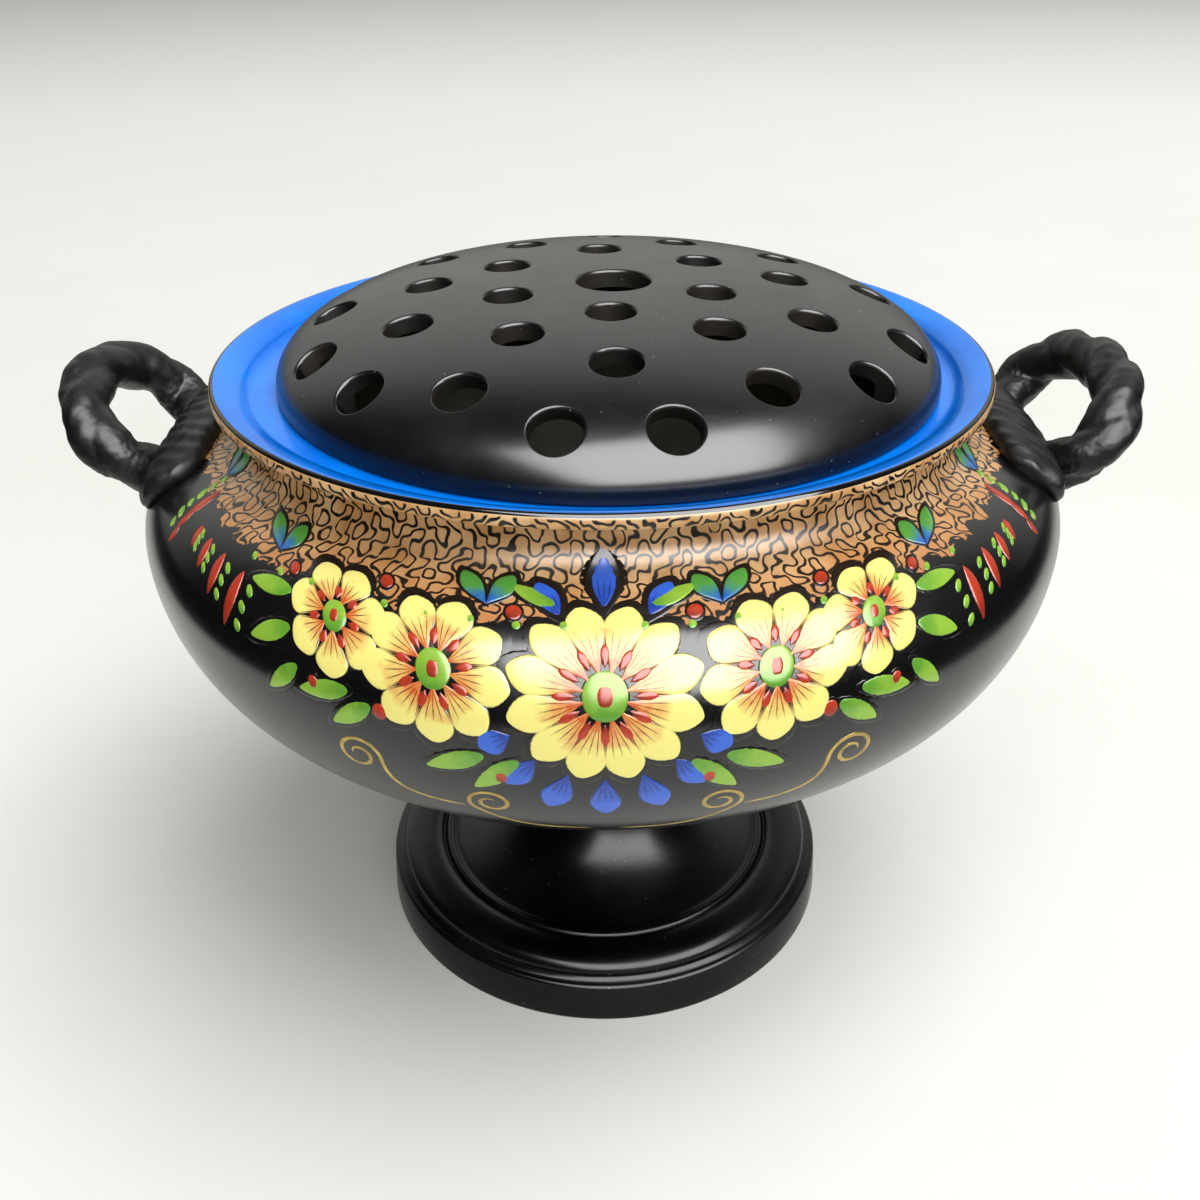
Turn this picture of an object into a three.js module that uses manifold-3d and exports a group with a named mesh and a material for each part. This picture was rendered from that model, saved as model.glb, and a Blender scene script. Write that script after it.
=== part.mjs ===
// Footed rose bowl: a shouldered bowl on a turned pedestal foot, with a domed,
// pierced flower grid lying in its mouth and a twisted rope handle at each side.
// Millimetres, +Z up, origin at the centre of the foot's underside.
// The handles lie on the X axis, and -Y is the front.

import * as THREE from 'three';
import { mergeVertices } from 'three/addons/utils/BufferGeometryUtils.js';
import Module from 'manifold-3d';

const wasm = await Module();
wasm.setup();

// Overall sizes of the bowl
const rimRadius = 100;
const rimHeight = 179.2;
const bellyRadius = 122.4;
const bellyHeight = 141;
const neckRadius = 93;
const neckHeight = 171.6;
const wallThickness = 5;

// Curves of the bowl's outside
const lowerBellyCurve = 50;
const lowerBellyTurn = 50;
const shoulderCurve = 20;
const shoulderTurn = 57;
const lipHeight = 3.6;
const lipRoll = 1;
const lipEdge = 0.8;

// Mouth of the bowl: the flared lip, and the gallery that the grid lies on
const lipWidth = 1.3;
const lipFall = 0.2;
const flareWidth = 5.2;
const flareDrop = 2.1;
const galleryDrop = 5.6;
const galleryThickness = 5;
const galleryThroatRadius = 81.5;
const galleryCove = 3.6;

// Pedestal foot
const footRadius = 70.6;
const footRingWidth = 8;
const plinthHeight = 12.3;
const plinthTaper = 1;
const torusRadius = 60;
const torusRise = 5.4;
const torusHalfWidth = 6.4;
const torusSeat = 0.4;
const torusInnerFall = 3.4;
const beadRadius = 51.6;
const beadSize = 1.5;
const stemRadius = 19.5;
const stemHeight = 55;
const joinRadius = 24;
const joinHeight = 70;
const footWall = 6;
const hollowRounding = 4;
const floorThickness = 6.5;

// Flower grid
const gridRadius = 86.6;
const gridRise = 22.4;
const gridFullness = 2.9;
const gridThickness = 4.5;
const gridFoot = 1.7;
const gridEdge = 0.9;
const gridOffset = 1.8;
const flangeClearance = 2.4;
const flangeWidth = 3.6;
const flangeDepth = 6;
const centreHole = 19;
const centreHoleOff = 4.7;
const centreHoleTurn = 288;
const stemHole = 12;

// Rings of holes, punched by eye: each ring's radius is a share of the grid's, so the
// pattern keeps its spacing, and each hole has its own angle in degrees
const holeRings = [
  { share: 0.338, angles: [32, 94, 156, 212, 271, 331] },
  { share: 0.535, angles: [3.5, 64, 120, 181, 243, 303.5] },
  { share: 0.65, angles: [31, 90, 148, 211.5, 271.5, 330.5] },
  { share: 0.818, angles: [6, 64, 124, 184, 242.5, 300] },
  { share: 0.898, angles: [23, 42.5, 81, 100, 141, 161, 204.5, 223.5, 261.5, 280, 320.5, 341.5] },
];

// Rope handles: two flattened rolls of clay twisted together and bent into a loop, which
// stands on a strip of clay along the shoulder and leans outward
const ropeWide = 13.2;
const ropeNarrow = 11;
const ropeTwist = 2.75;
const ropeSeatRadius = 119;
const ropeSeatHeight = 153.7;
const ropeFootAngle = 125;
const ropeEndAngle = 140;
const stripThickness = 4.4;
const stripWidth = 16;
const stripLength = 82;
const stripRadius = 107.5;
const rightReach = 16.4;
const rightRise = 18.8;
const rightSpread = 27.6;
const leftReach = 17.2;
const leftRise = 18.4;
const leftSpread = 25;
const handles = [
  { name: 'right', turn: 0, reach: rightReach, rise: rightRise, spread: rightSpread },
  { name: 'left', turn: 180, reach: leftReach, rise: leftRise, spread: leftSpread },
];

// Clearances
const luteGap = 0.3;
const seatGap = 0.3;

// Facets
const bowlFacets = 44;
const footFacets = 36;
const gridFacets = 38;
const holeFacets = 12;
const ropeFacets = 5;
const ropeSteps = 32;
const stationsPerHalf = 8;
const endFacets = 4;

const degrees = Math.PI / 180;
const point = (radius, height) => new THREE.Vector2(radius, height);

// Points of an arc in the (radius, height) plane, angles from the radius axis
function arc(centre, size, from, to, steps) {
  const points = [];
  for (let i = 0; i <= steps; i += 1) {
    const angle = (from + (to - from) * i / steps) * degrees;
    points.push(point(centre.x + size * Math.cos(angle), centre.y + size * Math.sin(angle)));
  }
  return points;
}

// A smooth curve from start to end that leaves and arrives along the two given angles
function sweep(start, leaving, end, arriving, steps, firm = 0.4) {
  const reach = start.distanceTo(end) * firm;
  const along = (angle) => point(Math.cos(angle * degrees), Math.sin(angle * degrees));
  const curve = new THREE.CubicBezierCurve(
    start,
    along(leaving).multiplyScalar(reach).add(start),
    along(arriving).multiplyScalar(-reach).add(end),
    end,
  );
  return curve.getPoints(steps);
}

// Joins runs of points and leaves out those that repeat
function chain(...runs) {
  const points = [];
  for (const spot of runs.flat()) {
    const last = points[points.length - 1];
    if (!last || last.distanceTo(spot) > 0.02) points.push(spot);
  }
  return points;
}

// Moves each point of a run off the line, to its left when distance is positive
function offset(run, distance) {
  return run.map((spot, i) => {
    const before = run[Math.max(i - 1, 0)];
    const after = run[Math.min(i + 1, run.length - 1)];
    const along = after.clone().sub(before).normalize();
    return point(spot.x - along.y * distance, spot.y + along.x * distance);
  });
}

// A closed mesh with each of its corners held once, before it is turned or bent
function weld(geometry) {
  geometry.deleteAttribute('normal');
  geometry.deleteAttribute('uv');
  const welded = mergeVertices(geometry, 1e-4);
  const corners = welded.index.array;
  const faces = [];
  for (let i = 0; i < corners.length; i += 3) {
    const [a, b, c] = corners.slice(i, i + 3);
    if (a !== b && b !== c && c !== a) faces.push(a, b, c);
  }
  return welded.setIndex(faces);
}

// A welded mesh as a solid, and a solid as a mesh
function solidOf(welded) {
  return new wasm.Manifold(new wasm.Mesh({
    numProp: 3,
    vertProperties: welded.attributes.position.array,
    triVerts: new Uint32Array(welded.index.array),
  }));
}

function geometryOf(solid) {
  const mesh = solid.getMesh();
  const geometry = new THREE.BufferGeometry();
  geometry.setAttribute('position', new THREE.BufferAttribute(mesh.vertProperties, 3));
  geometry.setIndex(new THREE.BufferAttribute(mesh.triVerts, 1));
  geometry.computeVertexNormals();
  return geometry;
}

// A solid of revolution: the profile runs up its outside
function revolve(profile, facets) {
  return solidOf(weld(new THREE.LatheGeometry(profile, facets)).rotateX(Math.PI / 2));
}

// The bowl's outside, from the foot's join up to the neck
const lowerCentre = point(bellyRadius - lowerBellyCurve, bellyHeight);
const shoulderCentre = point(bellyRadius - shoulderCurve, bellyHeight);
const lowerArc = arc(lowerCentre, lowerBellyCurve, -lowerBellyTurn, 0, 5);
const shoulderArc = arc(shoulderCentre, shoulderCurve, 0, shoulderTurn, 4);
const joinEdge = point(joinRadius, joinHeight);
const neck = point(neckRadius, neckHeight);
const underBelly = sweep(joinEdge, 8, lowerArc[0], 90 - lowerBellyTurn, 4);
const neckRun = sweep(shoulderArc[shoulderArc.length - 1], 90 + shoulderTurn, neck, 90, 4, 0.45);
const outerRun = chain(underBelly, lowerArc, shoulderArc, neckRun);

// The lip: its rolled lower edge stands a little past the rim
const lipLower = point(rimRadius + lipRoll, rimHeight - lipHeight);
const lipUnder = sweep(neck, 90, point(lipLower.x - lipEdge, lipLower.y), 20, 2);
const lipTop = arc(point(rimRadius - lipEdge, rimHeight - lipEdge), lipEdge, 0, 90, 2);

// The mouth: flare, cove and gallery, with the gallery's inner edge
const galleryHeight = rimHeight - galleryDrop;
const flareTop = point(rimRadius - lipWidth, rimHeight - lipFall);
const flareFoot = point(flareTop.x - flareWidth, flareTop.y - flareDrop);
const coveFoot = point(flareFoot.x - galleryCove, galleryHeight);
const cove = sweep(flareFoot, 250, coveFoot, 180, 2);
const galleryEdge = [
  point(galleryThroatRadius + lipEdge, galleryHeight),
  point(galleryThroatRadius, galleryHeight - lipEdge),
  point(galleryThroatRadius, galleryHeight - galleryThickness + lipEdge),
];

// The inside of the bowl, from under the gallery down to the floor
const innerRun = offset(outerRun, wallThickness).filter((spot, i) => i % 2 === 0);
const lowestInside = innerRun.findIndex((spot) => spot.x > joinRadius * 2);
const underGallery = innerRun.filter(
  (spot, i) => i >= lowestInside && spot.y < galleryHeight - galleryThickness - lipEdge,
);
const floorRun = sweep(point(0, joinHeight + floorThickness), 0, underGallery[0], 24, 3);

function bowlProfile() {
  return chain(
    [point(0, joinHeight)],
    outerRun,
    lipUnder,
    [point(lipLower.x, lipLower.y + lipEdge)],
    lipTop,
    [flareTop],
    cove,
    galleryEdge,
    underGallery.slice().reverse(),
    floorRun.slice().reverse(),
  );
}

// The pedestal: plinth, torus, bead, cove and stem, hollow from beneath
function footProfile() {
  const plinthTop = point(footRadius - plinthTaper, plinthHeight);
  const torusOuter = point(torusRadius + torusHalfWidth, plinthHeight + torusSeat);
  const torusCrown = point(torusRadius, plinthHeight + torusRise);
  const torusInner = point(torusRadius - torusHalfWidth, torusCrown.y - torusInnerFall);
  const bead = point(beadRadius, torusInner.y);
  const stem = point(stemRadius, stemHeight);
  const coveStart = point(bead.x - beadSize, bead.y + torusSeat);
  const outside = chain(
    [point(footRadius, 0), point(plinthTop.x, plinthTop.y - lipEdge)],
    [point(plinthTop.x - lipEdge, plinthTop.y)],
    sweep(torusOuter, 75, torusCrown, 180, 3, 0.45),
    sweep(torusCrown, 180, torusInner, 270, 2, 0.45),
    arc(bead, beadSize, 20, 160, 2),
    sweep(coveStart, 170, stem, 92, 7, 0.42),
    sweep(stem, 92, joinEdge, 60, 2),
  );
  const hollowTop = joinHeight - footWall * 2;
  const stemInside = point(stemRadius - footWall, stemHeight - footWall);
  const plinthInside = point(footRadius - footRingWidth - hollowRounding, plinthHeight - footWall);
  const inside = chain(
    sweep(point(0, hollowTop), 0, stemInside, 270, 2),
    sweep(stemInside, 272, plinthInside, 350, 5, 0.42),
    [point(footRadius - footRingWidth, 0)],
  );
  return chain(outside, [point(0, joinHeight)], inside, [outside[0]]);
}

// The grid's dome: a flat crown whose sides fall ever more steeply
const gridBase = galleryHeight + seatGap;
const domeBase = gridBase + gridFoot;
function domeHeight(radius, outerRadius, rise) {
  const share = Math.min(Math.abs(radius) / outerRadius, 1);
  return domeBase + rise * Math.sqrt(1 - share ** gridFullness);
}

function domeRun(outerRadius, rise, steps) {
  const points = [];
  for (let i = 0; i <= steps; i += 1) {
    const radius = outerRadius * Math.sin(90 * degrees * i / steps) ** 0.8;
    points.push(point(radius, domeHeight(radius, outerRadius, rise)));
  }
  return points;
}

// The grid's outside and its locating flange
const outerDome = domeRun(gridRadius, gridRise, 8);
const flangeOuter = galleryThroatRadius - flangeClearance;
const flangeInner = flangeOuter - flangeWidth;
const innerRise = gridRise - gridThickness;
const innerRadius = gridRadius - gridThickness;

function gridProfile() {
  const innerDome = domeRun(innerRadius, innerRise, 6).filter((spot) => spot.x < flangeInner - gridEdge);
  return chain(
    innerDome,
    [point(flangeInner, domeHeight(flangeInner, innerRadius, innerRise))],
    [point(flangeInner, gridBase - flangeDepth), point(flangeOuter, gridBase - flangeDepth)],
    [point(flangeOuter, gridBase), point(gridRadius - gridEdge, gridBase)],
    [point(gridRadius, gridBase + gridEdge)],
    outerDome.slice().reverse(),
  );
}

// A punched hole: a cylinder square to the dome at its own place
function holeCutter(ringRadius, angle, diameter) {
  const step = 0.5;
  const rise = domeHeight(ringRadius + step, gridRadius, gridRise)
    - domeHeight(ringRadius - step, gridRadius, gridRise);
  const tilt = Math.atan2(-rise, step * 2);
  const length = gridThickness * 5;
  const cutter = weld(new THREE.CylinderGeometry(diameter / 2, diameter / 2, length, holeFacets));
  cutter.rotateX(Math.PI / 2);
  cutter.rotateY(tilt);
  cutter.translate(ringRadius, 0, domeHeight(ringRadius, gridRadius, gridRise) - gridThickness / 2);
  cutter.rotateZ(angle * degrees);
  return solidOf(cutter);
}

function gridSolid() {
  let grid = revolve(gridProfile(), gridFacets);
  grid = grid.subtract(holeCutter(centreHoleOff, centreHoleTurn, centreHole));
  for (const ring of holeRings) {
    for (const angle of ring.angles) {
      grid = grid.subtract(holeCutter(gridRadius * ring.share, angle, stemHole));
    }
  }
  return grid;
}

// The bowl's outside grown by a distance, filled, to trim what is luted to it
function grownBowl(distance) {
  const grown = offset(outerRun, -distance);
  const top = grown[grown.length - 1];
  const bottom = grown[0];
  return revolve(chain([point(0, bottom.y)], grown, [point(0, top.y)]), bowlFacets);
}

// The strip of clay under a handle lies along the shoulder, and its two ends are rounded
function stripSolid(grow) {
  const skin = grownBowl(luteGap + stripThickness + grow).subtract(grownBowl(luteGap - grow));
  const half = stripWidth / 2 + grow;
  const end = (stripLength - stripWidth) / 2;
  const outline = new THREE.Shape();
  outline.absarc(stripRadius, -end, half, Math.PI, Math.PI * 2);
  outline.absarc(stripRadius, end, half, 0, Math.PI);
  const block = weld(new THREE.ExtrudeGeometry(outline, {
    depth: rimHeight - bellyHeight, bevelEnabled: false, curveSegments: endFacets,
  }));
  block.translate(0, 0, bellyHeight);
  return skin.intersect(solidOf(block));
}

// The rope's centre line: an oval loop, open where its two feet meet the shoulder, in a
// plane that leans outward. Its reach and rise count from the feet to the loop's outermost point
function ropeLine({ reach, rise, spread }) {
  const footLevel = Math.cos(ropeFootAngle * degrees);
  const stations = [];
  for (let angle = -ropeEndAngle; angle <= ropeEndAngle; angle += ropeEndAngle / stationsPerHalf) {
    const share = (Math.cos(angle * degrees) - footLevel) / (1 - footLevel);
    stations.push(new THREE.Vector3(
      ropeSeatRadius + share * reach,
      Math.sin(angle * degrees) * spread,
      ropeSeatHeight + share * rise,
    ));
  }
  return new THREE.CatmullRomCurve3(stations);
}

// One strand: an extruded oval, bent along the rope's line and twisted round it
function strandSolid(handle, turn) {
  const halfGap = luteGap / 2;
  const lobe = (ropeWide / 2 - halfGap) / 2;
  const section = new THREE.Shape();
  section.absellipse(halfGap + lobe, 0, lobe, ropeNarrow / 2, 0, Math.PI * 2);
  const roll = weld(new THREE.ExtrudeGeometry(section, {
    depth: 1, steps: ropeSteps, bevelEnabled: false, curveSegments: ropeFacets,
  }));
  const line = ropeLine(handle);
  const square = new THREE.Vector3(-handle.rise, 0, handle.reach).normalize();
  const spot = new THREE.Vector3();
  const places = roll.attributes.position;
  for (let i = 0; i < places.count; i += 1) {
    spot.fromBufferAttribute(places, i);
    const share = Math.min(Math.max(spot.z, 0), 1);
    const along = line.getTangentAt(share);
    const outward = square.clone().cross(along);
    const angle = (share * ropeTwist + turn) * 2 * Math.PI;
    const out = spot.x * Math.cos(angle) - spot.y * Math.sin(angle);
    const across = spot.x * Math.sin(angle) + spot.y * Math.cos(angle);
    const place = line.getPointAt(share);
    place.addScaledVector(outward, out).addScaledVector(square, across);
    places.setXYZ(i, place.x, place.y, place.z);
  }
  const strand = solidOf(roll).subtract(grownBowl(luteGap)).subtract(stripSolid(luteGap));
  const pieces = strand.decompose();
  return pieces.reduce((best, piece) => (piece.volume() > best.volume() ? piece : best));
}

// Materials: black glazed earthenware, black satin glaze, black gloss glaze
const bowlGlaze = new THREE.MeshStandardMaterial({ color: 0x17181a, roughness: 0.22 });
const footGlaze = new THREE.MeshStandardMaterial({ color: 0x101113, roughness: 0.3 });
const gridGlaze = new THREE.MeshStandardMaterial({ color: 0x202123, roughness: 0.42 });
const handleGlaze = new THREE.MeshStandardMaterial({ color: 0x0e0f10, roughness: 0.25 });

const roseBowl = new THREE.Group();
function addPiece(name, solid, glaze, parent = roseBowl) {
  const mesh = new THREE.Mesh(geometryOf(solid), glaze);
  mesh.name = name;
  parent.add(mesh);
}

addPiece('bowl_body', revolve(bowlProfile(), bowlFacets), bowlGlaze);
addPiece('pedestal_foot', revolve(footProfile(), footFacets), footGlaze);

// The grid lies a little to the right in its seat, as it was put down
const gridSeat = new THREE.Group();
gridSeat.position.x = gridOffset;
roseBowl.add(gridSeat);
addPiece('flower_grid', gridSolid(), gridGlaze, gridSeat);

for (const handle of handles) {
  const half = new THREE.Group();
  half.rotation.z = handle.turn * degrees;
  roseBowl.add(half);
  addPiece(`handle_${handle.name}_strip`, stripSolid(0), handleGlaze, half);
  addPiece(`handle_${handle.name}_strand_a`, strandSolid(handle, 0), handleGlaze, half);
  addPiece(`handle_${handle.name}_strand_b`, strandSolid(handle, 0.5), handleGlaze, half);
}

export default roseBowl;
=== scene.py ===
"""Dresses the footed rose bowl: a painted and glazed bowl, its pierced flower grid,
its turned foot and its two rope handles. Measures are in millimetres until a mesh is finished."""
import math
from bisect import bisect_left

import bmesh
import bpy
from mathutils import Matrix, Vector, noise
from mathutils.geometry import interpolate_bezier


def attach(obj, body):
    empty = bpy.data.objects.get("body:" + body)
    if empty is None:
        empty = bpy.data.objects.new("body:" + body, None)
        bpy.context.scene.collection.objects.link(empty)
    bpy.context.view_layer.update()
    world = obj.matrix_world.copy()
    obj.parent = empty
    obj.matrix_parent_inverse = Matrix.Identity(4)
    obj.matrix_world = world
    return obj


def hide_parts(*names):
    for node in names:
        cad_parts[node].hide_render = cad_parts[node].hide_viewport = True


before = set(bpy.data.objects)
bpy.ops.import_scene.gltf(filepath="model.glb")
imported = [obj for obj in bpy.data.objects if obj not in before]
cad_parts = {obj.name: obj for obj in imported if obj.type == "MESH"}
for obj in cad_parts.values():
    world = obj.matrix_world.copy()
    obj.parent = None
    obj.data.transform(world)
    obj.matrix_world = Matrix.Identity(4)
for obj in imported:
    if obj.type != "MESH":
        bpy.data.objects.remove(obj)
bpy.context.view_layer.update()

scene = bpy.context.scene
scene.view_settings.view_transform = "Standard"
MM = 0.001


def put_in_scene(name, data):
    """An object that shows the data, in the scene."""
    thing = bpy.data.objects.new(name, data)
    scene.collection.objects.link(thing)
    return thing


# Camera: the photograph is taken from in front and above, looking down at about 30 degrees

CAMERA_PLACE = Vector((-0.75, -304.9, 281.1)) * MM
PITCH, YAW, ROLL = math.radians(30.64), math.radians(-0.02), math.radians(-0.46)
FOCAL_LENGTH, SENSOR_WIDTH = 35.4, 36

ahead = Vector((math.sin(YAW) * math.cos(PITCH), math.cos(YAW) * math.cos(PITCH), -math.sin(PITCH)))
right = Vector((math.cos(YAW), -math.sin(YAW), 0))
up = right.cross(ahead)
level_right = math.cos(ROLL) * right + math.sin(ROLL) * up
level_up = -math.sin(ROLL) * right + math.cos(ROLL) * up
camera = put_in_scene("camera", bpy.data.cameras.new("camera"))
camera.data.lens, camera.data.sensor_width = FOCAL_LENGTH, SENSOR_WIDTH
camera.matrix_world = Matrix.Translation(CAMERA_PLACE) @ Matrix(
    (level_right, level_up, -ahead)).transposed().to_4x4()
scene.camera = camera

# Helpers for materials


def linear(code):
    """An sRGB hex colour as the linear colour that a socket takes."""
    parts = [int(code[i:i + 2], 16) / 255 for i in (1, 3, 5)]
    return [p / 12.92 if p <= 0.04045 else ((p + 0.055) / 1.055) ** 2.4 for p in parts] + [1.0]


def add(tree, kind, *feeds, inputs=None, **settings):
    """Adds a node with its settings, feeds its open inputs in order with links or values, and
    those in inputs by name. Returns its first output."""
    node = tree.nodes.new(kind)
    for name, value in settings.items():
        setattr(node, name, value)
    open_sockets = [socket for socket in node.inputs if socket.enabled]
    pairs = list(zip(open_sockets, feeds))
    pairs += [(node.inputs[name], feed) for name, feed in (inputs or {}).items()]
    for socket, feed in pairs:
        if isinstance(feed, bpy.types.NodeSocket):
            tree.links.new(feed, socket)
        elif feed is not None:
            socket.default_value = feed
    return next((socket for socket in node.outputs if socket.enabled), None)


def new_finish(name):
    """An empty material and its node tree."""
    material = bpy.data.materials.new(name)
    material.use_nodes = True
    material.node_tree.nodes.clear()
    return material, material.node_tree


# Helpers for pieces

WHEEL_STEPS = 256    # Facets round a turned piece
ONE_SPOT = 0.001     # Points nearer to each other than this, in mm, are merged


def mesh_from(bm, name):
    """The mesh of a bmesh, which is freed."""
    mesh = bpy.data.meshes.new(name)
    bm.to_mesh(mesh)
    bm.free()
    return mesh


def applied(thing):
    """The mesh of an object with its modifiers applied."""
    bpy.context.view_layer.update()
    depsgraph = bpy.context.evaluated_depsgraph_get()
    return bpy.data.meshes.new_from_object(thing.evaluated_get(depsgraph))


def finish_piece(bm, name, materials, body, node):
    """A finished bmesh, in millimetres, becomes a piece that rides on a body."""
    bmesh.ops.scale(bm, vec=(MM, MM, MM), verts=bm.verts)
    mesh = mesh_from(bm, name)
    for material in materials:
        mesh.materials.append(material)
    mesh.shade_smooth()
    piece = put_in_scene(name, mesh)
    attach(piece, body)
    if node:
        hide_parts(*node)
    return piece


def arc(centre, size, start, stop, steps):
    """Points of an arc in the (radius, height) plane, angles in degrees from the radius axis."""
    angles = [math.radians(start + (stop - start) * i / steps) for i in range(steps + 1)]
    return [Vector((centre[0] + size * math.cos(angle), centre[1] + size * math.sin(angle)))
            for angle in angles]


def sweep(start, leaving, end, arriving, steps, firm=0.4):
    """A smooth curve from start to end that leaves and arrives along two angles."""
    start, end = Vector(start), Vector(end)
    reach = (end - start).length * firm
    out = Vector((math.cos(math.radians(leaving)), math.sin(math.radians(leaving)))) * reach
    back = Vector((math.cos(math.radians(arriving)), math.sin(math.radians(arriving)))) * reach
    return interpolate_bezier(start, start + out, end - back, end, steps + 1)


def chain(*runs):
    """Joins runs of points and leaves out those that repeat."""
    points = []
    for spot in (Vector(p) for run in runs for p in run):
        if not points or (points[-1] - spot).length > 0.02:
            points.append(spot)
    return points


def offset(run, distance):
    """Moves each point of a run off the line, to its left when distance is positive."""
    moved = []
    for i, spot in enumerate(run):
        along = (run[min(i + 1, len(run) - 1)] - run[max(i - 1, 0)]).normalized()
        moved.append(spot + Vector((-along.y, along.x)) * distance)
    return moved


def reach_of(run):
    """How far along a run each of its points lies."""
    reached = [0.0]
    for a, b in zip(run, run[1:]):
        reached.append(reached[-1] + (b - a).length)
    return reached


def point_along(run, reached, want):
    """The point so far along a run, the stretch of the run that holds it, and its share of it."""
    i = min(max(bisect_left(reached, want), 1), len(run) - 1)
    share = (want - reached[i - 1]) / (reached[i] - reached[i - 1])
    return run[i - 1].lerp(run[i], share), i, share


def throw_on_wheel(profile, steps=WHEEL_STEPS):
    """Spins a closed profile of (radius, height) points, and measures the run along it."""
    bm = bmesh.new()
    run = bm.verts.layers.float.new("run")
    length, last = 0.0, profile[0]
    row = []
    for spot in profile:
        length += (spot - last).length
        last = spot
        vert = bm.verts.new((-spot.x, 0, spot.y))
        vert[run] = length
        row.append(vert)
    edges = [bm.edges.new(pair) for pair in zip(row, row[1:])]
    bmesh.ops.spin(bm, geom=row + edges, cent=(0, 0, 0), axis=(0, 0, 1), angle=math.tau,
                   steps=steps, use_merge=True)
    bmesh.ops.remove_doubles(bm, verts=bm.verts, dist=ONE_SPOT)
    bmesh.ops.recalc_face_normals(bm, faces=bm.faces)
    return bm, run


# The bowl's shape, as points of (radius, height)

BELLY_RADIUS, BELLY_HEIGHT, LOWER_CURVE, SHOULDER_CURVE = 122.4, 141, 50, 20
WALL = 5
# Where the foot is luted on, where the neck is narrowest, and the lip's lower edge
JOIN_EDGE, NECK, LIP_LOWER = (24, 70), (93, 171.6), (100.2, 175.6)
# A point within the outline, which tells outward from inward
INSIDE_OUTLINE = Vector((60, BELLY_HEIGHT))

lower_arc = arc((BELLY_RADIUS - LOWER_CURVE, BELLY_HEIGHT), LOWER_CURVE, -50, 0, 44)
shoulder_arc = arc((BELLY_RADIUS - SHOULDER_CURVE, BELLY_HEIGHT), SHOULDER_CURVE, 0, 57, 24)
outer_run = chain(
    sweep(JOIN_EDGE, 8, lower_arc[0], 40, 44),
    lower_arc,
    shoulder_arc,
    sweep(shoulder_arc[-1], 147, NECK, 90, 26, 0.45),
)
lip_under = sweep(NECK, 90, LIP_LOWER, 20, 7)
lip_side = [(101, 176.4), (101, 178.2)]
lip_top = arc((99.8, 178.2), 1.0, 15, 90, 5)
flare = [(98.7, 179.0), (96.1, 177.95), (93.5, 176.9)]
cove = sweep((93.5, 176.9), 250, (89.9, 173.6), 180, 6)
gallery = [(86, 173.6), (82.3, 173.6), (81.7, 173.3), (81.5, 172.8), (81.5, 169.4)]
inner_run = [p for p in offset(outer_run, WALL) if p.x > 48]
under_gallery = [p for p in inner_run if p.y < 167.8]
floor_run = sweep((0, 76.5), 0, under_gallery[0], 24, 14)
outside_run = chain(outer_run, lip_under)
bowl_profile = chain([(0, 70), (12, 70)], outside_run, lip_side, lip_top, flare, cove, gallery,
                     under_gallery[::-1], floor_run[::-1])

# The outside again from the lip's lower edge downwards, and how far down each point lies
down_run = outside_run[::-1]
down = reach_of(down_run)


def on_bowl(angle, fall, lift):
    """The point of the bowl's outside at an angle, so far down from the lip, lifted off it."""
    spot, i, share = point_along(down_run, down, fall)
    above, below = down_run[i - 1], down_run[i]
    before = down_run[max(i - 2, 0)]
    after = down_run[min(i + 1, len(down_run) - 1)]
    along = ((below - before).normalized() * (1 - share)
             + (after - above).normalized() * share).normalized()
    out = Vector((-along.y, along.x))
    if out.dot(spot - INSIDE_OUTLINE) < 0:
        out.negate()
    spot = spot + out * lift
    return Vector((spot.x * math.cos(angle), spot.x * math.sin(angle), spot.y))


def radius_at(fall):
    """The bowl's outside radius so far down from the lip."""
    return point_along(down_run, down, fall)[0].x


def face_outward(bm, faces):
    """Turns a patch on the bowl round if it faces the bowl's middle."""
    middle = Vector((0, 0, 130))
    if sum(face.normal.dot(face.calc_center_median() - middle) * face.calc_area()
           for face in faces) < 0:
        bmesh.ops.reverse_faces(bm, faces=faces)


# Finishes of the bowl, foot, grid and handles. Scales are cycles per metre, distances metres.

# The vermicelli lines run in cells of about 3 mm: so many round the bowl, and so many per metre
# down it. Two quarter arcs bend through each cell, squarer than a circle's.
CELLS_ROUND, CELLS_DOWN, ARC_POWER = 208.0, 315.0, 2.3


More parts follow.
